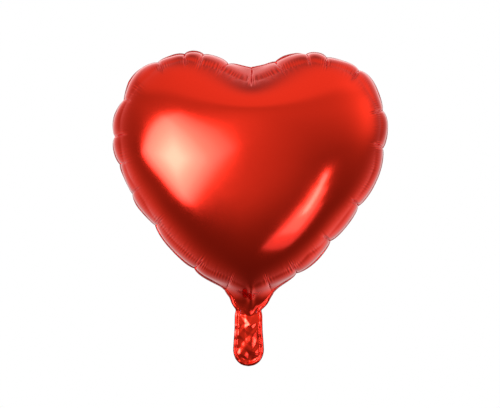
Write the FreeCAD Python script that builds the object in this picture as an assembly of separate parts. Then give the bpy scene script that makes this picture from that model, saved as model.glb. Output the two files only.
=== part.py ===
"""Heart-shaped foil balloon, inflated, with its flat tail hanging from the heart's point.

Frame: origin at the neck, where a ribbon is tied, +Z up through the heart, -Y towards the front panel.
Two heart-shaped foil panels are heat-sealed along a narrow band round their edge. The tail is the
same two panels carried on below the neck as a flat pocket. Two clear films make the flat self-closing
valve, which runs from the tail's inlet hole through the neck and up into the heart. The foil folds at
the neck, so the panels, the seal and the films are each cut there. Sizes are in millimetres.
"""

import math
import os

import FreeCAD as App
import Part

# Driving dimensions, inflated
HEART_WIDTH = 380.0
HEART_HEIGHT = 353.0  # neck to the tops of the lobes
CLEFT_HEIGHT = 328.0
HEART_DEPTH = 178.0  # front of the front panel to back of the back panel
CROWN_HEIGHT = 215.0  # where the heart is deepest
NECK_WIDTH = 38.0
NECK_DEPTH = 2.3  # the neck is pressed flat on the valve
TAIL_LENGTH = 80.0
TAIL_END_WIDTH = 41.0
TAIL_DEPTH = 5.0
SEAL_WIDTH = 5.0  # heat-sealed band outside the gas space
FILM = 0.5  # foil panel
SEAL_THICKNESS = 0.3  # fused layer between the two panels
HINGE_GAP = 2.5  # clear space above and below the neck line, where the foil folds
INLET_RADIUS = 4.0
INLET_ABOVE_TAIL_END = 20.0
VALVE_FILM = 0.2
VALVE_GAP = 0.2  # between the two closed valve films
VALVE_WIDTH = 22.0
VALVE_ABOVE_NECK = 117.0
VALVE_BELOW_NECK = 50.0
VALVE_CORNER_RADIUS = 4.0

SEAM_Y = SEAL_THICKNESS / 2  # inner face of each panel's sealed edge
ALONG_STEPS = 28  # sections of a half panel, from the neck round to the centre line
ACROSS_STEPS = 8  # points of one section, from the weld up to the ridge

# Right half of the heart's outer edge, from the neck to the cleft, as shares of half width and height
HEART_EDGE = [
    (0.125, 0.030),
    (0.190, 0.068),
    (0.360, 0.140),
    (0.570, 0.240),
    (0.780, 0.372),
    (0.938, 0.515),
    (1.000, 0.680),
    (0.935, 0.840),
    (0.740, 0.948),
    (0.450, 1.000),
    (0.160, 0.965),
    (0.045, 0.937),
]

UP = App.Vector(0, 0, 1)
DOWN = App.Vector(0, 0, -1)
LEFT = App.Vector(-1, 0, 0)


def smooth_curve(points, start_direction):
    """A smooth curve through points that ends square to the centre line."""
    distances = [0.0]
    for before, after in zip(points, points[1:]):
        distances.append(distances[-1] + before.distanceToPoint(after))
    curve = Part.BSplineCurve()
    curve.interpolate(
        Points=points,
        Parameters=distances,
        InitialTangent=start_direction,
        FinalTangent=LEFT,
        Scale=False,
    )
    return curve


def heart_curve():
    """The right half of the heart's outer edge, from the neck to the cleft."""
    points = [(NECK_WIDTH / 2, HINGE_GAP)]
    points += [(x * HEART_WIDTH / 2, z * HEART_HEIGHT) for x, z in HEART_EDGE]
    points.append((0.0, CLEFT_HEIGHT))
    return smooth_curve([App.Vector(x, 0, z) for x, z in points], UP)


def tail_curve():
    """The right half of the tail's outer edge, from the neck to the middle of the round end."""
    radius = TAIL_END_WIDTH / 2
    round_z = -TAIL_LENGTH + radius
    points = [(NECK_WIDTH / 2, -HINGE_GAP), (NECK_WIDTH / 2, round_z / 2)]
    for degrees in (0, 30, 60, 90):
        angle = math.radians(degrees)
        points.append((radius * math.cos(angle), round_z - radius * math.sin(angle)))
    return smooth_curve([App.Vector(x, 0, z) for x, z in points], DOWN)


def inset_points(curve, inset):
    """Points at equal steps along a half edge, moved in towards the gas space."""
    first, last = curve.FirstParameter, curve.LastParameter
    side = 1.0 if curve.value(last).z > curve.value(first).z else -1.0
    points = []
    for i in range(ALONG_STEPS + 1):
        distance = curve.length() * i / ALONG_STEPS
        parameter = min(curve.parameterAtDistance(distance, first), last)
        along = curve.tangent(parameter)[0]
        points.append(curve.value(parameter) + App.Vector(-along.z, 0, along.x) * (side * inset))
    points[0].z = curve.value(first).z
    points[-1].x = 0.0
    return points


def half_dome(curve, inset, base_y, crown_z, crown_depth):
    """The right half of a domed skin, from its weld line up to the ridge on the centre line."""
    weld = inset_points(curve, inset)
    neck_rise = NECK_DEPTH / 2 - FILM - SEAM_Y
    crown_rise = crown_depth / 2 - FILM - SEAM_Y
    grid = []
    for i, foot in enumerate(weld):
        share = 1.0 - (1.0 - i / ALONG_STEPS) ** 2
        ridge_z = weld[0].z + (crown_z - weld[0].z) * share
        rise = neck_rise + (crown_rise - neck_rise) * math.sin(math.pi / 2 * share)
        section = []
        for k in range(ACROSS_STEPS + 1):
            angle = math.pi / 2 * k / ACROSS_STEPS
            inwards = 1.0 - math.cos(angle)
            x = foot.x * (1.0 - inwards)
            z = foot.z + (ridge_z - foot.z) * inwards
            section.append(App.Vector(x, base_y - rise * math.sin(angle), z))
        grid.append(section)
    return smooth_surface(grid), grid


def smooth_surface(grid):
    """A cubic surface shaped by a grid of control points, which it touches at its corners."""
    rows, columns = len(grid), len(grid[0])
    surface = Part.BSplineSurface()
    surface.buildFromPolesMultsKnots(
        grid,
        clamped(rows),
        clamped(columns),
        list(range(len(clamped(rows)))),
        list(range(len(clamped(columns)))),
        False,
        False,
        3,
        3,
    )
    return surface.toShape()


def clamped(count):
    """Knot multiplicities of a cubic curve that starts and ends on its first and last points."""
    return [4] + [1] * (count - 4) + [4]


def edge_between(face, start, end):
    """The edge of a face that joins two of its corners."""
    for edge in face.Edges:
        ends = [v.Point for v in edge.Vertexes]
        if len(ends) == 2:
            forward = ends[0].distanceToPoint(start) + ends[1].distanceToPoint(end)
            backward = ends[1].distanceToPoint(start) + ends[0].distanceToPoint(end)
            if min(forward, backward) < 1e-4:
                return edge
    raise ValueError("the face has no edge there")


def on_left(shape):
    """The same shape on the left side."""
    return shape.mirror(App.Vector(0, 0, 0), App.Vector(1, 0, 0))


def on_back(shape):
    """The same shape on the back."""
    return shape.mirror(App.Vector(0, 0, 0), App.Vector(0, 1, 0))


def flat_face(half_edges):
    """A flat face from its right half's edges and their mirror images."""
    edges = []
    for edge in half_edges:
        edges.append(edge)
        edges.append(on_left(edge))
    return Part.Face(Part.Wire(Part.sortEdges(edges)[0]))


def panel(curve, crown_z, crown_depth):
    """One foil panel towards -Y: a domed skin with its flat sealed band, open at the neck."""
    inner_y = -SEAM_Y
    outer_y = -SEAM_Y - FILM
    outer, outer_grid = half_dome(curve, SEAL_WIDTH, outer_y, crown_z, crown_depth)
    inner, inner_grid = half_dome(curve, SEAL_WIDTH + FILM, inner_y, crown_z, crown_depth)

    rim = curve.toShape()
    inner_rim = rim.translated(App.Vector(0, inner_y, 0))
    outer_rim = rim.translated(App.Vector(0, outer_y, 0))
    wall = inner_rim.extrude(App.Vector(0, -FILM, 0))
    neck = curve.value(curve.FirstParameter)
    inner_corner = App.Vector(neck.x, inner_y, neck.z)
    outer_corner = App.Vector(neck.x, outer_y, neck.z)

    outer_weld = edge_between(outer, outer_grid[0][0], outer_grid[-1][0])
    inner_weld = edge_between(inner, inner_grid[0][0], inner_grid[-1][0])
    outer_arch = edge_between(outer, outer_grid[0][0], outer_grid[0][-1])
    inner_arch = edge_between(inner, inner_grid[0][0], inner_grid[0][-1])
    outer_step = Part.makeLine(outer_corner, outer_grid[0][0])
    inner_step = Part.makeLine(inner_corner, inner_grid[0][0])
    corner = Part.makeLine(inner_corner, outer_corner)

    faces = [outer, on_left(outer), inner, on_left(inner), wall, on_left(wall)]
    faces.append(flat_face([outer_rim, outer_weld, outer_step]))
    faces.append(flat_face([inner_rim, inner_weld, inner_step]))
    faces.append(flat_face([corner, outer_step, outer_arch, inner_arch, inner_step]))
    return closed_solid(faces)


def closed_solid(faces):
    """Faces that share their edges, sewn into one solid."""
    shell = Part.makeShell(faces)
    shell.sewShape()
    if shell.ShapeType != "Shell":
        shell = shell.Shells[0]
    solid = Part.makeSolid(shell)
    if solid.Volume < 0:
        solid.reverse()
    return solid


def seal_band(curve):
    """The fused layer between the two panels' edges."""
    outer_edge = curve.toShape()
    start_direction = curve.tangent(curve.FirstParameter)[0]
    weld = smooth_curve(inset_points(curve, SEAL_WIDTH), start_direction)
    inner_edge = weld.toShape()
    neck = Part.makeLine(curve.value(curve.FirstParameter), weld.value(weld.FirstParameter))
    band = flat_face([outer_edge, inner_edge, neck])
    return band.translated(App.Vector(0, -SEAM_Y, 0)).extrude(App.Vector(0, SEAL_THICKNESS, 0))


def valve_film(length):
    """A length of the front valve film, from the neck upwards, with rounded far corners."""
    corner = App.Vector(-VALVE_WIDTH / 2, -VALVE_GAP / 2 - VALVE_FILM, HINGE_GAP)
    strip = Part.makeBox(VALVE_WIDTH, VALVE_FILM, length, corner)
    far_z = HINGE_GAP + length
    far = [e for e in strip.Edges if e.Length < 2 * VALVE_FILM and e.CenterOfMass.z > far_z - 0.01]
    return strip.makeFillet(VALVE_CORNER_RADIUS, far)


def below(shape):
    """A piece from above the neck turned to hang below it."""
    return shape.mirror(App.Vector(0, 0, 0), App.Vector(0, 0, 1))


def inlet_cutter():
    """The round inflation hole through the tail's back panel."""
    z = -TAIL_LENGTH + INLET_ABOVE_TAIL_END
    return Part.makeCylinder(INLET_RADIUS, TAIL_DEPTH, App.Vector(0, 0, z), App.Vector(0, 1, 0))


def save(shape, node):
    if not shape.isValid() or len(shape.Solids) != 1:
        raise ValueError(node + " is not one valid solid")
    solid = shape.Solids[0]
    solid.exportStep("parts/" + node + ".step")
    box = solid.BoundBox
    print(
        f"{node}: {solid.Volume / 1000:.2f} cm3, x {box.XMin:.1f}..{box.XMax:.1f} "
        f"y {box.YMin:.1f}..{box.YMax:.1f} z {box.ZMin:.1f}..{box.ZMax:.1f}"
    )


def main():
    os.makedirs("parts", exist_ok=True)

    heart = panel(heart_curve(), CROWN_HEIGHT, HEART_DEPTH)
    save(heart, "heart_front_panel")
    save(on_back(heart), "heart_back_panel")
    save(seal_band(heart_curve()), "heart_edge_seal")

    tail = panel(tail_curve(), -TAIL_LENGTH + TAIL_END_WIDTH / 2, TAIL_DEPTH)
    save(tail, "tail_front_panel")
    save(on_back(tail).cut(inlet_cutter()), "tail_back_panel")
    save(seal_band(tail_curve()), "tail_edge_seal")

    film = valve_film(VALVE_ABOVE_NECK - HINGE_GAP)
    save(film, "valve_front_film")
    save(on_back(film), "valve_back_film")
    mouth = below(valve_film(VALVE_BELOW_NECK - HINGE_GAP))
    save(mouth, "valve_front_mouth")
    save(on_back(mouth), "valve_back_mouth")


main()
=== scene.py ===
"""Looks of the heart-shaped foil balloon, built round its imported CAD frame.

The two foil panels start as flat sheets joined along their weld line. A small simulation blows them
up as film that can't stretch. Puckers along the edge, and the crumpled tail, are then worked out by
formula. The finished panels, the sealed edge and the valve films are thin closed shells in metres.
"""

import math

import bpy
import numpy as np
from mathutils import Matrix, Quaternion, Vector, geometry


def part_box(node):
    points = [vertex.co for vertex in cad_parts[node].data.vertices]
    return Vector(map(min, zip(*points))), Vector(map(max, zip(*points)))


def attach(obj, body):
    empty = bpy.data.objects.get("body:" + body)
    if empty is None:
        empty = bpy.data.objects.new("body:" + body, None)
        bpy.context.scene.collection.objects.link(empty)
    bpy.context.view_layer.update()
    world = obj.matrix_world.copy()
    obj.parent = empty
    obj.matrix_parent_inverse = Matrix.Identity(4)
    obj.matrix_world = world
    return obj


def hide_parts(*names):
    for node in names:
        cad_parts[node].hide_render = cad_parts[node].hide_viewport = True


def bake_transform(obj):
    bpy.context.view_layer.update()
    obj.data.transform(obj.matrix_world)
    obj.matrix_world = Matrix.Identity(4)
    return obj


MM = 0.001

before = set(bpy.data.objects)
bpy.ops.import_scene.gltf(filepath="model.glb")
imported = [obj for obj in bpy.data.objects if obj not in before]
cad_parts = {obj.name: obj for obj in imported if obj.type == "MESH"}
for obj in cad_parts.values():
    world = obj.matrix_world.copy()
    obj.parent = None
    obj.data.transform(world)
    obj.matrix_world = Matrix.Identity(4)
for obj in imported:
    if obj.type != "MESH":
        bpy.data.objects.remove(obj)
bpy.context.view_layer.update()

# ---------------------------------------------------------------------------
# The flat pattern: the weld line of two flat sheets, before the balloon is blown up
# ---------------------------------------------------------------------------

# Right half of the heart's weld line, laid flat, from the cleft to the neck, as (x, z) in millimetres
FLAT_HEART = [
    (0, 374),
    (7, 375),
    (22, 380),
    (46, 387),
    (101, 391),
    (160, 368),
    (198, 328),
    (218, 269),
    (211, 203),
    (184, 142),
    (137, 83),
    (90, 42),
    (46, 19),
    (26, 11),
    (14, 0),
]
# The tail's weld line carries on from it to the middle of the tail's round end
FLAT_TAIL = [(14.5, -12), (14.8, -30), (16.2, -50), (16.4, -60), (13.6, -68.5), (7.6, -74), (0, -76)]

# The blown-up balloon, and the inlet hole in the back of its tail
HEART_WIDTH = 380 * MM
HEART_HEIGHT = 353 * MM
HEART_DEPTH = 177 * MM
HOLE_RADIUS = 4 * MM
HOLE_Z = -60 * MM
HOLE_POINTS = 24

# Thicknesses
FOIL_FILM = 0.12 * MM
FOIL_AT_WELD = 0.05  # the share of its thickness that the foil keeps where the two panels touch
VALVE_FILM = 0.06 * MM
VALVE_OFFSET = 0.25 * MM  # each valve film lies this far from the middle
SEAL_THICKNESS = 0.3 * MM

# ---------------------------------------------------------------------------
# Blowing the balloon up
# ---------------------------------------------------------------------------

COARSE_EDGE = 7 * MM  # edge length of the mesh that is blown up
COARSE_STEPS = 350
SMOOTHING_ROUNDS = 25
FIRST_BULGE = 20 * MM
FIRST_BULGE_REACH = 60 * MM  # the first bulge rises to its full height this far from the weld
FIRST_UNEVENNESS = 0.2 * MM
NECK_TO_GAS = (0.0, 12 * MM)  # over this height above the neck the gas pressure sets in
GAS_PUSH = 2.2e-6
SETTLES_AFTER = 0.6  # share of the steps after which the film is slowed down more
KEPT_SPEED = 0.995  # share of its speed that the film keeps at each step
KEPT_SPEED_LATE = 0.97
BEND_STIFFNESS = 0.1
SHEET_GAP = 0.9 * MM  # the valve films keep the panels at least this far apart
LOBE_GAP = 0.4 * MM  # each lobe stays this far on its own side of the middle
LOBES_FROM = 250 * MM  # height on the flat sheet from which that holds

# ---------------------------------------------------------------------------
# Puckers along the edge, all measured along the flat foil
# ---------------------------------------------------------------------------

# Where the pinches are, as distances along the weld line from the cleft, in millimetres, and how
# strong each of them is
PINCHES_RIGHT = [
    (37, 0.5),
    (83, 0.8),
    (119, 0.8),
    (178, 1.0),
    (260, 0.9),
    (325, 1.0),
    (426, 1.0),
    (496, 1.0),
    (568, 0.8),
    (615, 0.5),
]
PINCHES_LEFT = [
    (34, 0.9),
    (73, 0.6),
    (104, 0.8),
    (150, 0.7),
    (242, 0.6),
    (305, 0.9),
    (350, 0.5),
    (402, 0.6),
    (463, 0.7),
    (552, 0.8),
    (610, 0.5),
]
PILLOW_BULGE = 2.1 * MM  # between pinches the edge swells this much
PILLOW_REACH = 34 * MM  # and does so up to this far from the weld
PILLOW_FLATNESS = 2.6  # the higher, the flatter the top of a pillow between its pinches
PINCH_SLANT = 0.12  # a pinch leans up to this far sideways for each unit inwards
GROOVE_DEPTH = 4.0 * MM
GROOVE_WIDTH = 0.8 * MM
GROOVE_REACH = 50 * MM
GROOVE_START = 4 * MM
WELD_NOTCH = 1.4 * MM  # the sharp notch at a pinch
NOTCH_WIDTH = 4 * MM
SCALLOP = 3.0 * MM  # the round arc of the weld between pinches
NOTCH_REACH = 14 * MM
WELD_WANDER = 1.2 * MM  # the weld line strays this far to the front and back
WANDER_REACH = 12 * MM

# The comb: fine ripples in a band inside the edge, stronger near the pinches
COMB_PITCH = 4.2 * MM
COMB_HEIGHT = 0.5 * MM
COMB_STARTS = (23 * MM, 32 * MM)  # distances from the weld over which it comes and goes
COMB_ENDS = (38 * MM, 54 * MM)
COMB_NEAR_PINCH = 8 * MM

UPPER_LEAN = 2 * MM  # the lobes lean this far to the right
PUFF = 2.2 * MM  # half the thickness of the air left in the tail
PUFF_REACH = 14 * MM

# The slit under the cleft, and the ridge that runs from the tip of the heart down into the neck
CLEFT_SLIT = 3.5 * MM
SLIT_WIDTH = 0.5 * MM
SLIT_LENGTH = 58 * MM
SLIT_COLUMNS = [-2.5, -1.7, -1.1, -0.7, -0.35, 0, 0.35, 0.7, 1.1, 1.7, 2.5]  # mm from the cleft's line
BESIDE_SLIT = 3.1 * MM
TIP_RIDGE = 3 * MM
TIP_RIDGE_X = 1.5 * MM
TIP_RIDGE_WIDTH = 4.5 * MM

# Folds of the crumpled tail: direction in degrees, pitch and height in millimetres, phase, and the
# share of the pitch over which a fold rises
TAIL_FOLDS = [
    (6, 38, 2.2, 0.5, 0.29),
    (97, 60, 3.4, 0.37, 0.2),
    (38, 21, 0.85, 0.55, 0.7),
    (-35, 15, 0.65, 0.2, 0.65),
    (68, 12, 0.42, 0.4, 0.6),
]

WRINKLE_HEIGHT = 0.13 * MM
WRINKLE_PITCH = 3.4 * MM
FLAT_AT_NECK = (-12 * MM, 5 * MM)  # over this height the tail's creases fade out

SEAL_WIDTH = 4.6 * MM
SEAL_TRIM = 1.2 * MM  # the sealed margin is this much narrower round the heart
SEAL_LEAN = 1.1  # radians that the sealed margin leans backwards round the heart
SEAL_LEAN_CHANGE = 0.35  # and how much that varies along the weld

# Distances from the weld at which the finished foil has rows of points, in millimetres
ROWS = [0.6, 1.3, 2.2, 3.3, 4.6, 6, 7.5, 9, 11, 13, 15, 17, 19, 21, 23, 25, 27, 28.6, 30, 31, 32.4]
ROWS += [34, 36, 38, 40.5, 43, 46, 49, 53, 57]
ROW_STEP = 1.3 * MM
CREASE_STEP = 0.45 * MM
MIDDLE_STEP = 4 * MM
TAIL_STEP = 1.2 * MM
TAIL_TOP = 14 * MM
MEASURE_STEP = 2 * MM  # spacing of the weld line that distances are measured from
CARRY_REACH = 9 * MM  # the finer mesh follows the coarse mesh's points that are about this near
SEAM_REACH = 2 * MM  # the two panels are drawn together this near the weld
VALVE_COLUMNS = 12
VALVE_ROW = 2.5 * MM

# ---------------------------------------------------------------------------
# Colours, lights and the camera
# ---------------------------------------------------------------------------

FOIL_RED = (0.85, 0.025, 0.006)
SEAL_RED = (0.7, 0.018, 0.004)
FOIL_ROUGHNESS = 0.16
SEAL_ROUGHNESS = 0.22
ROUGHNESS_CHANGE = 0.15  # the roughness varies from place to place by this share
FOIL_EMBOSS = 0.02 * MM  # height of the fine unevenness
SEAL_EMBOSS = 0.05 * MM
NOISE_SCALE = 60
COAT_WEIGHT = 0.15
COAT_ROUGHNESS = 0.12

# Brightness of the room against the height (z) of the direction, from straight down to straight up
ROOM_BRIGHTNESS = [
    (-1.0, 0.14),
    (-0.5, 0.2),
    (0.0, 0.28),
    (0.45, 0.6),
    (0.64, 0.62),
    (0.74, 0.92),
    (1.0, 1.0),
]
# Soft glows of the room, added to that: azimuth, elevation, sharpness and strength
GLOWS = [
    (-8, 4, 12, 0.48),
    (180, 15, 3, 0.65),
    (180, 62, 12, -0.75),
    (75, 22, 12, 0.75),
    (-80, 45, 4, -0.14),
    (128, -33, 8, 0.7),
    (-122, -25, 5, 0.55),
]

BALLOON_MIDDLE = Vector((0, 0, 0.2))
SOFTBOX_COLOUR = (1, 1.15, 2.0)

# The key light gets brighter towards its middle: azimuth, elevation, side length in metres, and the
# radiance it adds
KEY_LAYERS = [
    (-39.5, -0.5, 1.03, 3.0),
    (-35.5, 0.7, 1.06, 2.5),
    (-31.5, 2, 1.03, 3.0),
    (-34.5, 1, 0.75, 1.5),
    (-34, 1, 0.56, 2.5),
    (-33.5, 1, 0.4, 3.5),
    (-33, 1, 0.25, 4.0),
]
KEY_DISTANCE = 1.5
KEY_LAYER_STEP = 0.02  # each layer is this much nearer than the one before
KEY_ROLL = math.radians(45)

# The narrow light at the lower right, wider and dimmer towards its foot: name, azimuth, elevation,
# size in metres and radiance
SIDE_LIGHTS = [
    ("side_top", 36.5, -19, (0.06, 0.34), 11.0),
    ("side_middle", 35.5, -28, (0.2, 0.4), 2.8),
    ("side_low", 35, -37, (0.36, 0.4), 0.9),
]
SIDE_DISTANCE = 0.9
SIDE_ROLL = math.radians(-12)

FLOOR_SIZE = 5
FLOOR_Z = -0.6
FLOOR_GREY = (0.85, 0.85, 0.85, 1)
FLOOR_GLOW = 0.15

CAMERA_DISTANCE = 2.2
PICTURE_WIDTH = 0.6885  # what the picture's width shows at the balloon
CAMERA_AIM = (0.002, 0.143)
SENSOR_WIDTH = 36  # in millimetres


def ramp(x, low, high):
    """0 below low and 1 above high, smooth in between."""
    t = np.clip((x - low) / (high - low), 0, 1)
    return t * t * (3 - 2 * t)


def smooth_through(points, per_span=24):
    """Points along a smooth curve (Catmull-Rom) through the given ones."""
    given = np.array(points, float)
    before = np.vstack([2 * given[0] - given[1], given, 2 * given[-1] - given[-2]])
    t = np.linspace(0, 1, per_span, endpoint=False)[:, None]
    spans = []
    for a, b, c, d in zip(before, before[1:], before[2:], before[3:]):
        cubic = -a + 3 * b - 3 * c + d
        square = 2 * a - 5 * b + 4 * c - d
        spans.append(0.5 * (2 * b + (c - a) * t + square * t**2 + cubic * t**3))
    spans.append(given[-1:])
    return np.vstack(spans)


def respaced(loop, step_at):
    """A closed line's points, spaced out anew; step_at gives the wanted spacing along the line."""
    closed = np.vstack([loop, loop[:1]])
    lengths = np.linalg.norm(np.diff(closed, axis=0), axis=1)
    along = np.concatenate([[0], np.cumsum(lengths)])
    fine = np.linspace(0, along[-1], 20000)
    passed = np.concatenate([[0], np.cumsum(np.diff(fine) / step_at(fine[1:], along[-1]))])
    shares = np.linspace(0, passed[-1], round(passed[-1]), endpoint=False)
    places = np.interp(shares, passed, fine)
    return np.stack([np.interp(places, along, closed[:, k]) for k in (0, 1)], 1)


def whole_weld():
    """The whole weld line, counter-clockwise from the cleft."""
    half = smooth_through(FLAT_HEART + FLAT_TAIL) * MM
    return np.vstack([half * [-1, 1], half[-2:0:-1]])


def weld_loop(step):
    """The weld line with points at an even spacing."""
    return respaced(whole_weld(), lambda along, length: np.full(len(along), step))


def pinched_loop():
    """The weld line with points close together at the pinches, where the finished foil is creased."""

    def step_at(along, length):
        step = np.full(len(along), ROW_STEP)
        places = [0, length]
        places += [p * MM for p, _ in PINCHES_LEFT]
        places += [length - p * MM for p, _ in PINCHES_RIGHT]
        for place in places:
            wider = ramp(np.abs(along - place), 2.5 * MM, 6 * MM)
            step = np.minimum(step, CREASE_STEP + (ROW_STEP - CREASE_STEP) * wider)
        return step

    return respaced(whole_weld(), step_at)


def nearest_on_loop(loop, points):
    """Each point's distance to a closed line, and how far along the line its nearest place is."""
    ahead = np.roll(loop, -1, 0) - loop
    squares = (ahead**2).sum(1)
    starts = np.concatenate([[0], np.cumsum(np.sqrt(squares))])[:-1]
    distance = np.empty(len(points))
    along = np.empty(len(points))
    batch = 2000
    for first in range(0, len(points), batch):
        part = points[first : first + batch]
        offset = part[:, None] - loop[None]
        share = np.clip((offset * ahead[None]).sum(2) / squares[None], 0, 1)
        gap = ((offset - share[..., None] * ahead[None]) ** 2).sum(2)
        best = gap.argmin(1)
        rows = np.arange(len(part))
        distance[first : first + batch] = np.sqrt(gap[rows, best])
        along[first : first + batch] = starts[best] + share[rows, best] * np.sqrt(squares[best])
    return distance, along


def is_inside(loop, points):
    """Which points lie inside a closed line."""
    x, z = points[:, 0], points[:, 1]
    inside = np.zeros(len(points), bool)
    for (x0, z0), (x1, z1) in zip(loop, np.roll(loop, -1, 0)):
        if z0 != z1:
            crosses = (z0 > z) != (z1 > z)
            inside ^= crosses & (x < (x1 - x0) * (z - z0) / (z1 - z0) + x0)
    return inside


def hexagonal_points(low, high, step):
    """Points that fill a rectangle in a triangular pattern."""
    rows = []
    for row, z in enumerate(np.arange(low[1], high[1], step * math.sqrt(3) / 2)):
        x = np.arange(low[0] + step / 2 * (row % 2), high[0], step)
        rows.append(np.stack([x, np.full(len(x), z)], 1))
    return np.vstack(rows)


def hole_ring():
    """Points round the inlet hole."""
    angles = np.linspace(0, 2 * math.pi, HOLE_POINTS, endpoint=False)
    return np.stack([np.cos(angles) * HOLE_RADIUS, HOLE_Z + np.sin(angles) * HOLE_RADIUS], 1)


def flat_sheet(step):
    """One flat sheet as a triangle mesh: its points, its faces, and which points are on the weld."""
    weld = weld_loop(step)
    ring = hole_ring()
    inner = hexagonal_points(weld.min(0), weld.max(0), step)
    inner = inner[is_inside(weld, inner)]
    inner = inner[nearest_on_loop(weld, inner)[0] > 0.6 * step]
    inner = inner[nearest_on_loop(ring, inner)[0] > 0.5 * HOLE_RADIUS]
    return joined_sheet(weld, ring, inner)


def twice_area(points, faces):
    """Twice the signed area of each flat triangle."""
    a, b, c = (points[faces[:, k]] for k in range(3))
    across = (b[:, 0] - a[:, 0]) * (c[:, 1] - a[:, 1])
    return across - (b[:, 1] - a[:, 1]) * (c[:, 0] - a[:, 0])


def joined_sheet(weld, ring, inner):
    """The triangles between a weld line, the ring of the inlet hole and points in between."""
    points = np.vstack([weld, ring, inner])
    count, rim = len(weld), len(ring)
    edges = [(i, (i + 1) % count) for i in range(count)]
    edges += [(count + i, count + (i + 1) % rim) for i in range(rim)]
    made = geometry.delaunay_2d_cdt([Vector(p) for p in points], edges, [], 1, 1e-7)
    flat = np.array([tuple(v) for v in made[0]])
    faces = np.array(made[2])
    turn = twice_area(flat, faces)
    faces[turn < 0] = faces[turn < 0][:, ::-1]
    centres = flat[faces].mean(1)
    faces = faces[is_inside(weld, centres)]
    on_weld = nearest_on_loop(weld, flat)[0] < 1e-6
    return flat, faces, on_weld


# ---------------------------------------------------------------------------
# The simulation: film that folds but doesn't stretch
# ---------------------------------------------------------------------------


class Balloon:
    """Two sheets that share the points of their weld line, each point with its flat place."""

    def __init__(self, step):
        self.flat, self.faces, self.on_weld = flat_sheet(step)
        self.front = np.stack([self.flat[:, 0], 0 * self.flat[:, 0], self.flat[:, 1]], 1)
        self.back = self.front.copy()

    def seed(self, random):
        """A first slight bulge, and a little unevenness everywhere."""
        distance = nearest_on_loop(weld_loop(MEASURE_STEP), self.flat)[0]
        in_heart = self.flat[:, 1] > 0
        bulge = FIRST_BULGE * np.clip(distance / FIRST_BULGE_REACH, 0, 1) * in_heart
        for sheet, side in ((self.front, -1), (self.back, 1)):
            sheet[:, 1] += side * bulge * (~self.on_weld)
        uneven = random.normal(0, FIRST_UNEVENNESS, len(self.flat))
        self.front[:, 1] += uneven
        self.back[:, 1] += uneven

    def smooth(self, rounds):
        """Irons out the lumps that the slack film is left with."""
        edges = unique_edges(self.faces)
        weld_edges = edges[self.on_weld[edges].all(1)]
        for sheet in (self.front, self.back):
            for _ in range(rounds):
                inner_mean = neighbour_mean(sheet, edges)
                weld_mean = neighbour_mean(sheet, weld_edges)
                mean = np.where(self.on_weld[:, None], weld_mean, inner_mean)
                sheet += 0.5 * (mean - sheet)

    def relax(self, steps, push):
        """Lets the gas blow the sheets up for a number of steps."""
        count = len(self.flat)
        twin = np.arange(count)
        inner = np.nonzero(~self.on_weld)[0]
        twin[inner] = count + np.arange(len(inner))
        place = np.vstack([self.front, self.back[inner]])
        rest = np.vstack([self.flat, self.flat[inner]])
        faces = np.vstack([self.faces, twin[self.faces][:, ::-1]])
        edges = unique_edges(faces)
        spans = opposite_points(self.faces)
        spans = np.unique(np.vstack([spans, twin[spans]]), axis=0)
        edge_groups = independent(edges, len(place), rest)
        span_groups = independent(spans, len(place), rest)
        gas = Gas(faces, rest)
        speed = np.zeros_like(place)
        partner = twin[inner]
        high = rest[:, 1] > LOBES_FROM
        right = high & (rest[:, 0] > 1e-6)
        left = high & (rest[:, 0] < -1e-6)
        for step in range(steps):
            kept = KEPT_SPEED_LATE if step > SETTLES_AFTER * steps else KEPT_SPEED
            speed = speed * kept + gas.pressure(place) * push
            before = place.copy()
            place += speed
            for i, j, length in edge_groups:
                keep_length(place, i, j, length, if_long=1, if_short=0)
            for i, j, length in span_groups:
                keep_length(place, i, j, length, if_long=0, if_short=BEND_STIFFNESS)
            place[right, 0] = np.maximum(place[right, 0], LOBE_GAP)
            place[left, 0] = np.minimum(place[left, 0], -LOBE_GAP)
            gap = place[partner, 1] - place[inner, 1] - SHEET_GAP
            shift = np.minimum(gap, 0) / 2
            place[inner, 1] += shift
            place[partner, 1] -= shift
            speed = place - before
        self.front = place[:count]
        self.back = place[twin]


class Gas:
    """The gas pressure on each point of the film, for its mass."""

    def __init__(self, faces, rest):
        self.faces = faces
        self.count = len(rest)
        height = rest[faces].mean(1)[:, 1]
        low, high = NECK_TO_GAS
        self.weight = np.clip((height - low) / (high - low), 0, 1)
        area = np.abs(twice_area(rest, faces)) / 2
        self.mass = np.bincount(faces.ravel(), np.repeat(area / 3, 3), minlength=self.count)

    def pressure(self, place):
        a, b, c = (place[self.faces[:, k]] for k in range(3))
        normal = np.cross(b - a, c - a) / 6 * self.weight[:, None]
        return sum_at_points(normal, self.faces, self.count) / self.mass[:, None]


def sum_at_points(vectors, faces, count):
    """The sum, at each point, of the vectors of the faces round it."""
    total = np.empty((count, 3))
    for k in range(3):
        total[:, k] = np.bincount(faces.ravel(), np.repeat(vectors[:, k], 3), minlength=count)
    return total


def neighbour_mean(place, edges):
    """The mean of each point's neighbours; a point without any keeps its own place."""
    total = np.zeros_like(place)
    count = np.zeros(len(place))
    for i, j in (edges.T, edges[:, ::-1].T):
        for k in range(3):
            total[:, k] += np.bincount(i, place[j, k], minlength=len(place))
        count += np.bincount(i, minlength=len(place))
    return np.where(count[:, None] > 0, total / np.maximum(count, 1)[:, None], place)


def unique_edges(faces):
    """Each edge of the mesh once, as a pair of points."""
    return np.unique(np.sort(faces[:, [[0, 1], [1, 2], [2, 0]]].reshape(-1, 2), axis=1), axis=0)


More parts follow.
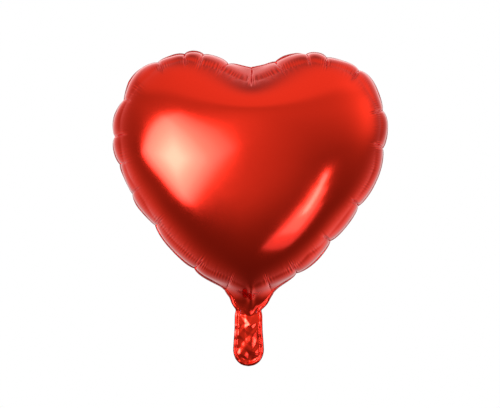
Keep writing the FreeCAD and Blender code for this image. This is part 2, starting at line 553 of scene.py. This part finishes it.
def opposite_points(faces):
    """The pair of points on either side of each inner edge."""
    sides = np.sort(faces[:, [[0, 1], [1, 2], [2, 0]]], axis=2).reshape(-1, 2)
    across = faces[:, [2, 0, 1]].reshape(-1)
    order = np.lexsort((sides[:, 1], sides[:, 0]))
    sides, across = sides[order], across[order]
    same = np.nonzero((sides[1:] == sides[:-1]).all(1))[0]
    return np.sort(np.stack([across[same], across[same + 1]], 1), axis=1)


def independent(pairs, count, rest):
    """The pairs in groups in which no point appears twice, each with its pairs' flat lengths."""
    used = [0] * count
    groups = {}
    for number, (i, j) in enumerate(pairs.tolist()):
        free = ~(used[i] | used[j])
        bit = free & -free
        used[i] |= bit
        used[j] |= bit
        groups.setdefault(bit, []).append(number)
    made = []
    for numbers in groups.values():
        i, j = pairs[numbers].T
        made.append((i, j, np.linalg.norm(rest[i] - rest[j], axis=1)))
    return made


def keep_length(place, i, j, length, if_long, if_short):
    """Moves each pair of points towards its flat distance, by these shares of what is wrong."""
    away = place[j] - place[i]
    now = np.sqrt(np.einsum("ij,ij->i", away, away)) + 1e-12
    excess = now - length
    away *= (excess / now * 0.5 * np.where(excess > 0, if_long, if_short))[:, None]
    place[i] += away
    place[j] -= away


# ---------------------------------------------------------------------------
# The finished foil: a finer mesh of the same flat sheet, carried onto the blown-up shape
# ---------------------------------------------------------------------------


def inward_normals(loop):
    """At each point of a closed line, the direction square to it that points inside."""
    along = np.roll(loop, -1, 0) - np.roll(loop, 1, 0)
    along /= np.linalg.norm(along, axis=1)[:, None]
    return np.stack([-along[:, 1], along[:, 0]], 1)


def fine_sheet():
    """The flat sheet again, with rows of points along its edge and a finer mesh in the tail."""
    weld = pinched_loop()
    inward = inward_normals(weld)
    measure = weld_loop(2 * MEASURE_STEP)
    rows = []
    for distance in ROWS:
        step = 2 if distance > 40 else 1
        row = weld[::step] + inward[::step] * distance * MM
        # Where the outline bends inwards, a row's points run into each other and are left out
        clear = nearest_on_loop(measure, row)[0] > (distance - 0.35) * MM
        rows.append(row[clear & (row[:, 1] > TAIL_TOP) & is_inside(measure, row)])
    rows = np.vstack(rows)

    cleft = weld[0, 1]
    slit_heights = np.arange(cleft - SLIT_LENGTH, cleft - 2 * MM, ROW_STEP)
    x, z = np.meshgrid(np.array(SLIT_COLUMNS) * MM, slit_heights)
    slit = np.stack([x.ravel(), z.ravel()], 1)
    beside = np.abs(rows[:, 0]) > BESIDE_SLIT
    below = rows[:, 1] < cleft - SLIT_LENGTH - 0.5 * MM
    rows = np.vstack([rows[beside | below], slit])

    ring = hole_ring()
    tail = hexagonal_points(weld.min(0), np.array([weld[:, 0].max(), TAIL_TOP]), TAIL_STEP)
    tail = tail[is_inside(measure, tail) & (nearest_on_loop(measure, tail)[0] > 0.5 * TAIL_STEP)]
    tail = tail[nearest_on_loop(ring, tail)[0] > 0.4 * TAIL_STEP]

    middle = hexagonal_points(weld.min(0), weld.max(0), MIDDLE_STEP)
    deep = nearest_on_loop(measure, middle)[0] > (ROWS[-1] + 2) * MM
    middle = middle[is_inside(measure, middle) & deep & (middle[:, 1] > TAIL_TOP)]
    return joined_sheet(weld, ring, np.vstack([rows, tail, middle]))


def carry(flat_from, place, flat_to, reach):
    """Where flat points end up, by a smooth local fit (moving least squares) to points that moved."""
    made = np.empty((len(flat_to), place.shape[1]))
    near_count = 30  # how many points each fit uses
    batch = 1500
    for first in range(0, len(flat_to), batch):
        part = flat_to[first : first + batch]
        gap = ((part[:, None] - flat_from[None]) ** 2).sum(2)
        near = np.argpartition(gap, near_count, axis=1)[:, :near_count]
        rows = np.arange(len(part))[:, None]
        weight = np.exp(-gap[rows, near] / reach**2)
        dx, dz = np.moveaxis((flat_from[near] - part[:, None]) / reach, 2, 0)
        terms = np.stack([np.ones_like(dx), dx, dz, dx * dx, dx * dz, dz * dz], 2)
        weighed = terms * weight[..., None]
        left = np.einsum("nki,nkj->nij", weighed, terms) + 1e-9 * np.eye(6)
        right = np.einsum("nki,nkj->nij", weighed, place[near])
        made[first : first + batch] = np.linalg.solve(left, right)[:, 0]
    return made


def point_normals(place, faces):
    """The surface's unit normal at each point."""
    a, b, c = (place[faces[:, k]] for k in range(3))
    total = sum_at_points(np.cross(b - a, c - a), faces, len(place))
    return total / (np.linalg.norm(total, axis=1)[:, None] + 1e-12)


def uneven_line(random, pitch, length):
    """A random function of the distance along the weld line, of about -1 to 1."""
    knots = random.uniform(-1, 1, int(length / pitch) + 3)
    return lambda along: np.interp(along / pitch, np.arange(len(knots)), knots)


class Puckers:
    """What the puckered edge adds to the smooth shape, as functions of the place on the flat foil."""

    def __init__(self, random):
        loop = weld_loop(MEASURE_STEP)
        self.length = np.linalg.norm(np.roll(loop, -1, 0) - loop, axis=1).sum()
        heart = np.linalg.norm(np.diff(smooth_through(FLAT_HEART), axis=0), axis=1).sum()
        self.sides = []
        for pinches in (PINCHES_LEFT, PINCHES_RIGHT):
            places = np.array([0] + [p for p, _ in pinches] + [heart]) * MM
            strength = np.array([0.1] + [g for _, g in pinches] + [0.3])
            slant = random.uniform(-PINCH_SLANT, PINCH_SLANT, len(places))
            self.sides.append((places, strength, slant))
        self.comb_phase = uneven_line(random, 9 * MM, self.length)
        self.comb_envelope = uneven_line(random, 14 * MM, self.length)
        self.band_shift = uneven_line(random, 25 * MM, self.length)
        self.wander = uneven_line(random, 30 * MM, self.length)

    def parts(self, distance, along):
        """For each point: how far up its pillow it is, the nearest pinch's strength, the distance to it
        along the weld, and the distance from the cleft along the weld."""
        on_left = along < self.length / 2
        down = np.where(on_left, along, self.length - along)
        pillow = np.zeros(len(down))
        strength = np.zeros(len(down))
        offset = np.zeros(len(down))
        for side, mask in zip(self.sides, (on_left, ~on_left)):
            places, force, slant = side
            s = down[mask] + np.interp(down[mask], places, slant) * distance[mask]
            k = np.clip(np.searchsorted(places, s) - 1, 0, len(places) - 2)
            u = np.clip((s - places[k]) / (places[k + 1] - places[k]), 0, 1)
            nearest = np.where(u < 0.5, k, k + 1)
            pillow[mask] = 1 - np.abs(2 * u - 1) ** PILLOW_FLATNESS
            strength[mask] = force[nearest]
            offset[mask] = s - places[nearest]
        return pillow, strength, offset, down

    def heights(self, distance, along):
        """How far the foil stands out along its normal."""
        pillow, strength, offset, down = self.parts(distance, along)
        reach = PILLOW_REACH * (1 + 0.12 * self.band_shift(along))
        across = np.clip(distance / reach, 0, 1)
        swell = PILLOW_BULGE * (0.35 + 0.65 * pillow) * np.sin(math.pi * across**1.2)
        away = np.abs(offset)
        end = GROOVE_REACH * (0.7 + 0.3 * strength)
        groove = np.exp(-away / GROOVE_WIDTH) * ramp(distance, 0, GROOVE_START)
        groove *= 1 - ramp(distance, 0.55 * end, end)
        band = ramp(distance, *COMB_STARTS) * (1 - ramp(distance, *COMB_ENDS))
        waves = np.sin(2 * math.pi * down / COMB_PITCH + 2.2 * self.comb_phase(along))
        near_pinch = np.exp(-((away / COMB_NEAR_PINCH) ** 2))
        comb = waves * np.clip(0.45 + 0.6 * self.comb_envelope(along) + 0.7 * near_pinch, 0, 1.2)
        return swell - GROOVE_DEPTH * strength * groove + COMB_HEIGHT * band * comb

    def notch(self, distance, along):
        """How far the weld line is drawn inwards."""
        pillow, strength, offset, _ = self.parts(distance, along)
        sharp = WELD_NOTCH * strength * np.exp(-np.abs(offset) / NOTCH_WIDTH)
        arc = SCALLOP * (1 - pillow) * (0.3 + 0.7 * strength)
        return (sharp + arc) * np.exp(-distance / NOTCH_REACH)


def fold(across, rise):
    """A row of folds of height 1, which rise over this share of their pitch and fall over the rest."""
    t = across % 1
    return np.minimum(t / rise, (1 - t) / (1 - rise))


def crumple(x, z):
    """The tail's creased foil: flat facets between sharp folds, and a few fine wrinkles."""
    total = np.zeros_like(x)
    bent_x = x + 1.2 * MM * np.sin(z / (8 * MM))
    bent_z = z + 2.0 * MM * np.sin(x / (4 * MM) + 1)
    for turn, pitch, height, phase, rise in TAIL_FOLDS:
        across = bent_x * math.cos(math.radians(turn)) + bent_z * math.sin(math.radians(turn))
        total += height * MM * (fold(across / (pitch * MM) + phase, rise) - 0.5)
    wrinkled = ramp(x, 2 * MM, 8 * MM) * ramp(z, -70 * MM, -62 * MM)
    wrinkled *= 1 - ramp(z, -50 * MM, -40 * MM)
    wrinkle = np.sin(2 * math.pi * (z + 0.3 * x) / WRINKLE_PITCH)
    return total + WRINKLE_HEIGHT * wrinkled * wrinkle


def faded_crumple(x, z):
    """The same, flat again where the foil has to bend with the tail."""
    return crumple(x, z) * (1 - ramp(z, *FLAT_AT_NECK))


class Foil:
    """The finished foil: flat points carried onto the blown-up shape, then puckered and crumpled."""

    def __init__(self, balloon, puckers):
        self.balloon = balloon
        self.puckers = puckers
        at_neck = balloon.on_weld & (np.abs(balloon.flat[:, 1]) < 6 * MM)
        rise = (balloon.front[at_neck, 2] - balloon.flat[at_neck, 1]).mean()
        left, right = balloon.front[:, 0].min(), balloon.front[:, 0].max()
        wide = (right - left) / 2
        deep = max(np.abs(balloon.front[:, 1]).max(), np.abs(balloon.back[:, 1]).max())
        high = balloon.front[:, 2].max() - rise
        swell = 0.4 * PILLOW_BULGE  # the puckers add about this to the outline
        wanted = np.array([HEART_WIDTH / 2 - swell, HEART_DEPTH / 2, HEART_HEIGHT - swell])
        self.scale = wanted / [wide, deep, high]
        self.origin = np.array([(left + right) / 2, 0, rise])
        self.measure = weld_loop(MEASURE_STEP)
        self.inward = inward_normals(self.smooth_places(self.measure)[0][:, [0, 2]])

    def smooth_places(self, flat):
        """The two panels' points, front and back, before the puckers."""
        distance = nearest_on_loop(self.measure, flat)[0]
        both = np.hstack([self.balloon.front - self.origin, self.balloon.back - self.origin])
        carried = carry(self.balloon.flat, both, flat, CARRY_REACH)
        front, back = carried[:, :3] * self.scale, carried[:, 3:] * self.scale
        seam = np.exp(-((distance / SEAM_REACH) ** 2))[:, None]
        middle = (front + back) / 2
        puff = PUFF * ramp(distance, 0, PUFF_REACH)

        # Outline and height turn from the tail's to the heart's sooner than the depth does
        placed = ramp(flat[:, 1], -4 * MM, 14 * MM)
        filled = ramp(flat[:, 1], -10 * MM, 40 * MM)
        in_heart = np.stack([placed, filled, placed], 1)
        made = []
        for sheet, side in ((front, -1), (back, 1)):
            sheet = sheet + (middle - sheet) * seam
            sheet[:, 0] += UPPER_LEAN * (ramp(flat[:, 1], 200 * MM, 320 * MM) + 0.3)
            tail = np.stack([flat[:, 0], side * puff, flat[:, 1]], 1)
            made.append(sheet * in_heart + tail * (1 - in_heart))
        return made

    def panels(self, flat, faces):
        """The finished points of the front and back panels."""
        distance, along = nearest_on_loop(self.measure, flat)
        in_heart = ramp(flat[:, 1], 10 * MM, 60 * MM)
        heights = self.puckers.heights(distance, along) * in_heart
        below = self.measure[0, 1] - flat[:, 1]
        slit = np.exp(-np.abs(flat[:, 0]) / SLIT_WIDTH) * (1 - ramp(below, 32 * MM, 54 * MM))
        heights -= CLEFT_SLIT * slit * ramp(below, 3 * MM, 9 * MM)
        ridge = np.exp(-(((flat[:, 0] - TIP_RIDGE_X) / TIP_RIDGE_WIDTH) ** 2))
        ridge *= ramp(flat[:, 1], -12 * MM, 12 * MM) * (1 - ramp(flat[:, 1], 20 * MM, 60 * MM))
        heights += TIP_RIDGE * ridge
        shift = self.common(flat, distance, along)
        front, back = self.smooth_places(flat)
        front += point_normals(front, faces) * heights[:, None] + shift
        back += point_normals(back, faces[:, ::-1]) * heights[:, None] + shift
        return front, back

    def common(self, flat, distance, along):
        """What moves both panels alike: the pinches' notches, the wandering weld, the crumpled tail."""
        count = len(self.inward)
        inward = self.inward[np.round(along / self.puckers.length * count).astype(int) % count]
        in_heart = ramp(flat[:, 1], 8 * MM, 30 * MM)
        notch = self.puckers.notch(distance, along) * in_heart
        wander = WELD_WANDER * self.puckers.wander(along) * np.exp(-distance / WANDER_REACH) * in_heart
        backwards = wander + faded_crumple(flat[:, 0], flat[:, 1])
        return np.stack([inward[:, 0] * notch, backwards, inward[:, 1] * notch], 1)


def seal_strip(foil):
    """The sealed margin outside the weld line, as a thin closed ribbon."""
    flat = pinched_loop()
    distance = np.zeros(len(flat))
    along = nearest_on_loop(foil.measure, flat)[1]
    inner = foil.smooth_places(flat)[0] + foil.common(flat, distance, along)
    outward = -inward_normals(inner[:, [0, 2]])
    smoothing_rounds = 12
    for _ in range(smoothing_rounds):
        outward = (np.roll(outward, 1, 0) + outward + np.roll(outward, -1, 0)) / 3
    outward /= np.linalg.norm(outward, axis=1)[:, None]
    lean = SEAL_LEAN + SEAL_LEAN_CHANGE * foil.puckers.wander(along)
    lean *= ramp(flat[:, 1], 2 * MM, 22 * MM)
    out = np.stack([outward[:, 0] * np.cos(lean), np.sin(lean), outward[:, 1] * np.cos(lean)], 1)
    up = np.stack([-outward[:, 0] * np.sin(lean), np.cos(lean), -outward[:, 1] * np.sin(lean)], 1)
    width = SEAL_WIDTH - SEAL_TRIM * ramp(flat[:, 1], 10 * MM, 60 * MM)

    # The ribbon's section: share of the width outwards, and share of half the thickness upwards
    section = [(0, -0.3), (0.3, -1), (1, -1), (1, 1), (0.3, 1), (0, 0.3)]
    rows = []
    for share, level in section:
        rows.append(inner + out * (share * width)[:, None] + up * level * SEAL_THICKNESS / 2)
    count = len(flat)
    polygons = []
    for row in range(len(section)):
        low, high = row * count, (row + 1) % len(section) * count
        for i in range(count):
            j = (i + 1) % count
            polygons.append([low + i, low + j, high + j, high + i])
    return mesh_object("edge_seal", np.vstack(rows), polygons)


def valve_strip(name, node, side):
    """A thin film between the panels, in the place of its CAD node."""
    low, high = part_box(node)
    columns = np.linspace(low.x, high.x, VALVE_COLUMNS)
    rows = np.linspace(low.z, high.z, max(8, round((high.z - low.z) / VALVE_ROW)))
    x, z = np.meshgrid(columns, rows)
    x, z = x.ravel(), z.ravel()
    place = np.stack([x, side * VALVE_OFFSET + faded_crumple(x, z), z], 1)
    wide = len(columns)
    triangles = []
    for r in range(len(rows) - 1):
        for c in range(wide - 1):
            k = r * wide + c
            triangles.append([k, k + 1, k + 1 + wide])
            triangles.append([k, k + 1 + wide, k + wide])
    return closed_shell(name, place, np.array(triangles), VALVE_FILM)


def closed_shell(name, outer, faces, thickness):
    """A thin closed shell below an open surface, its open edges joined by a band."""
    inner = outer - point_normals(outer, faces) * np.reshape(thickness, (-1, 1))
    count = len(outer)
    sides = faces[:, [[0, 1], [1, 2], [2, 0]]].reshape(-1, 2)
    edges = np.sort(sides, axis=1)
    _, index, uses = np.unique(edges, axis=0, return_inverse=True, return_counts=True)
    rim = sides[uses[index.ravel()] == 1]
    band = np.stack([rim[:, 1], rim[:, 0], rim[:, 0] + count, rim[:, 1] + count], 1)
    polygons = faces.tolist() + (faces[:, ::-1] + count).tolist() + band.tolist()
    return mesh_object(name, np.vstack([outer, inner]), polygons)


def mesh_object(name, points, polygons):
    """A smooth-shaded object made of these points and polygons."""
    mesh = bpy.data.meshes.new(name)
    mesh.from_pydata(points.tolist(), [], polygons)
    mesh.validate()
    mesh.shade_smooth()
    obj = bpy.data.objects.new(name, mesh)
    bpy.context.collection.objects.link(obj)
    return obj


# ---------------------------------------------------------------------------
# Build the pieces
# ---------------------------------------------------------------------------

random = np.random.default_rng(7)
balloon = Balloon(COARSE_EDGE)
balloon.seed(random)
balloon.relax(COARSE_STEPS, GAS_PUSH)
balloon.smooth(SMOOTHING_ROUNDS)
foil = Foil(balloon, Puckers(random))

flat, faces, on_weld = fine_sheet()
back_faces = faces[:, ::-1]
in_hole = np.linalg.norm(flat[faces].mean(1) - [0, HOLE_Z], axis=1) < HOLE_RADIUS
front, back = foil.panels(flat, faces)
seam = (front[on_weld] + back[on_weld]) / 2
front[on_weld] = seam
back[on_weld] = seam

# The film thins towards the weld, where the two panels touch
full = ramp(nearest_on_loop(foil.measure, flat)[0], 0.5 * MM, 3 * MM)
thickness = FOIL_FILM * (FOIL_AT_WELD + (1 - FOIL_AT_WELD) * full)
front_foil = closed_shell("front_foil", front, faces, thickness)
back_foil = closed_shell("back_foil", back, back_faces[~in_hole], thickness)
edge_seal = seal_strip(foil)

valve_pieces = []
for side_name, side in (("front", -1), ("back", 1)):
    lip = valve_strip(f"{side_name}_valve_film", f"valve_{side_name}_film", side)
    mouth = valve_strip(f"{side_name}_valve_mouth", f"valve_{side_name}_mouth", side)
    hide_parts(f"valve_{side_name}_film")
    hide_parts(f"valve_{side_name}_mouth")
    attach(lip, f"valve_{side_name}")
    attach(mouth, "tail")
    valve_pieces += [lip, mouth]

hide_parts("heart_front_panel", "tail_front_panel")
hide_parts("heart_back_panel", "tail_back_panel")
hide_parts("heart_edge_seal", "tail_edge_seal")

# ---------------------------------------------------------------------------
# Materials
# ---------------------------------------------------------------------------


def foil_material(name, colour, roughness, emboss):
    """Metallised film with a clear gloss coat and a very fine unevenness."""
    material = bpy.data.materials.new(name)
    material.use_nodes = True
    nodes, links = material.node_tree.nodes, material.node_tree.links
    shader = nodes["Principled BSDF"]
    shader.inputs["Base Color"].default_value = (*colour, 1)
    shader.inputs["Metallic"].default_value = 1
    shader.inputs["Coat Weight"].default_value = COAT_WEIGHT
    shader.inputs["Coat Roughness"].default_value = COAT_ROUGHNESS
    place = nodes.new("ShaderNodeTexCoord")
    fine = nodes.new("ShaderNodeTexNoise")
    fine.inputs["Scale"].default_value = NOISE_SCALE
    fine.inputs["Detail"].default_value = 3
    links.new(place.outputs["Object"], fine.inputs["Vector"])
    rough = nodes.new("ShaderNodeMapRange")
    rough.inputs["To Min"].default_value = roughness * (1 - ROUGHNESS_CHANGE)
    rough.inputs["To Max"].default_value = roughness * (1 + ROUGHNESS_CHANGE)
    links.new(fine.outputs["Fac"], rough.inputs["Value"])
    links.new(rough.outputs["Result"], shader.inputs["Roughness"])
    bump = nodes.new("ShaderNodeBump")
    bump.inputs["Strength"].default_value = 1
    bump.inputs["Distance"].default_value = emboss
    links.new(fine.outputs["Fac"], bump.inputs["Height"])
    links.new(bump.outputs["Normal"], shader.inputs["Normal"])
    return material


def clear_film_material():
    """Slightly hazy clear plastic."""
    material = bpy.data.materials.new("clear_film")
    material.use_nodes = True
    nodes, links = material.node_tree.nodes, material.node_tree.links
    shader = nodes["Principled BSDF"]
    shader.inputs["Base Color"].default_value = (0.9, 0.92, 0.95, 1)
    shader.inputs["Transmission Weight"].default_value = 0.85
    shader.inputs["IOR"].default_value = 1.5
    shader.inputs["Alpha"].default_value = 0.6
    haze = nodes.new("ShaderNodeTexNoise")
    haze.inputs["Scale"].default_value = 90
    rough = nodes.new("ShaderNodeMapRange")
    rough.inputs["To Min"].default_value = 0.15
    rough.inputs["To Max"].default_value = 0.35
    links.new(haze.outputs["Fac"], rough.inputs["Value"])
    links.new(rough.outputs["Result"], shader.inputs["Roughness"])
    return material


red_foil = foil_material("red_foil", FOIL_RED, FOIL_ROUGHNESS, FOIL_EMBOSS)
sealed_edge = foil_material("sealed_edge", SEAL_RED, SEAL_ROUGHNESS, SEAL_EMBOSS)
clear_film = clear_film_material()
for piece in (front_foil, back_foil):
    piece.data.materials.append(red_foil)
edge_seal.data.materials.append(sealed_edge)
for piece in valve_pieces:
    piece.data.materials.append(clear_film)

for piece in (front_foil, back_foil, edge_seal):
    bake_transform(piece)

# ---------------------------------------------------------------------------
# The white set, the lights and the camera
# ---------------------------------------------------------------------------


def paper_floor():
    """A pale floor that glows a little, like paper in studio light. The foil doesn't mirror it."""
    half = FLOOR_SIZE / 2
    corners = [(-half, -half), (half, -half), (half, half), (-half, half)]
    obj = mesh_object("floor", np.array([(x, y, FLOOR_Z) for x, y in corners]), [[0, 1, 2, 3]])
    material = bpy.data.materials.new("floor")
    material.use_nodes = True
    shader = material.node_tree.nodes["Principled BSDF"]
    shader.inputs["Base Color"].default_value = FLOOR_GREY
    shader.inputs["Roughness"].default_value = 0.9
    shader.inputs["Emission Color"].default_value = (1, 1, 1, 1)
    shader.inputs["Emission Strength"].default_value = FLOOR_GLOW
    obj.data.materials.append(material)
    obj.visible_glossy = False


def direction(azimuth, elevation):
    """Unit vector towards a place round the balloon: azimuth 0 is in front of it, 90 to its right."""
    a, e = math.radians(azimuth), math.radians(elevation)
    return Vector((math.sin(a) * math.cos(e), -math.cos(a) * math.cos(e), math.sin(e)))


def softbox(name, place, size, brightness, roll):
    """A rectangular light that faces the middle of the balloon, which place is measured from."""
    light = bpy.data.lights.new(name, "AREA")
    light.shape = "RECTANGLE"
    light.size, light.size_y = size
    light.energy = brightness * math.pi * size[0] * size[1]
    light.color = SOFTBOX_COLOUR
    obj = bpy.data.objects.new(name, light)
    bpy.context.collection.objects.link(obj)
    obj.location = BALLOON_MIDDLE + place
    facing = (-place).to_track_quat("-Z", "Y") @ Quaternion((0, 0, 1), roll)
    obj.rotation_euler = facing.to_euler()
    obj.visible_camera = False


def math_node(nodes, links, operation, first, second):
    """An operation on one node's output and a number or another output; gives the output."""
    node = nodes.new("ShaderNodeMath")
    node.operation = operation
    links.new(first, node.inputs[0])
    if isinstance(second, (int, float)):
        node.inputs[1].default_value = second
    else:
        links.new(second, node.inputs[1])
    return node.outputs["Value"]


def studio_world(world):
    """White behind the balloon; in its reflections a room with a bright ceiling and a dim floor."""
    nodes, links = world.node_tree.nodes, world.node_tree.links
    background = nodes["Background"]
    background.inputs["Color"].default_value = (1, 1, 1, 1)
    place = nodes.new("ShaderNodeTexCoord")
    split = nodes.new("ShaderNodeSeparateXYZ")
    links.new(place.outputs["Generated"], split.inputs["Vector"])
    ramp_node = nodes.new("ShaderNodeValToRGB")
    height = nodes.new("ShaderNodeMapRange")
    height.inputs["From Min"].default_value = -1
    height.inputs["From Max"].default_value = 1
    links.new(split.outputs["Z"], height.inputs["Value"])
    links.new(height.outputs["Result"], ramp_node.inputs["Fac"])
    stops = ramp_node.color_ramp.elements
    while len(stops) < len(ROOM_BRIGHTNESS):
        stops.new(0.5)
    for stop, (z, level) in zip(stops, ROOM_BRIGHTNESS):
        stop.position = (z + 1) / 2
        stop.color = (level, level, level, 1)
    room = ramp_node.outputs["Color"]
    for azimuth, elevation, sharpness, strength in GLOWS:
        facing = nodes.new("ShaderNodeVectorMath")
        facing.operation = "DOT_PRODUCT"
        facing.inputs[1].default_value = direction(azimuth, elevation)
        links.new(place.outputs["Generated"], facing.inputs[0])
        positive = math_node(nodes, links, "MAXIMUM", facing.outputs["Value"], 0)
        spread = math_node(nodes, links, "POWER", positive, sharpness)
        glow = math_node(nodes, links, "MULTIPLY", spread, strength)
        room = math_node(nodes, links, "ADD", room, glow)
    path = nodes.new("ShaderNodeLightPath")
    mix = nodes.new("ShaderNodeMix")
    links.new(path.outputs["Is Camera Ray"], mix.inputs["Factor"])
    links.new(room, mix.inputs["A"])
    mix.inputs["B"].default_value = 1.0
    links.new(mix.outputs["Result"], background.inputs["Strength"])


paper_floor()
for number, (azimuth, elevation, size, brightness) in enumerate(KEY_LAYERS):
    place = direction(azimuth, elevation) * (KEY_DISTANCE - KEY_LAYER_STEP * number)
    softbox(f"key_{number}", place, (size, size), brightness, KEY_ROLL)
for name, azimuth, elevation, size, brightness in SIDE_LIGHTS:
    softbox(name, direction(azimuth, elevation) * SIDE_DISTANCE, size, brightness, SIDE_ROLL)

world = bpy.data.worlds.new("studio")
bpy.context.scene.world = world
world.use_nodes = True
studio_world(world)

camera_data = bpy.data.cameras.new("camera")
camera = bpy.data.objects.new("camera", camera_data)
bpy.context.collection.objects.link(camera)
camera_data.sensor_width = SENSOR_WIDTH
camera_data.lens = SENSOR_WIDTH * CAMERA_DISTANCE / PICTURE_WIDTH
camera.location = (CAMERA_AIM[0], -CAMERA_DISTANCE, CAMERA_AIM[1])
camera.rotation_euler = (math.pi / 2, 0, 0)
bpy.context.scene.camera = camera
bpy.context.scene.view_settings.view_transform = "Standard"
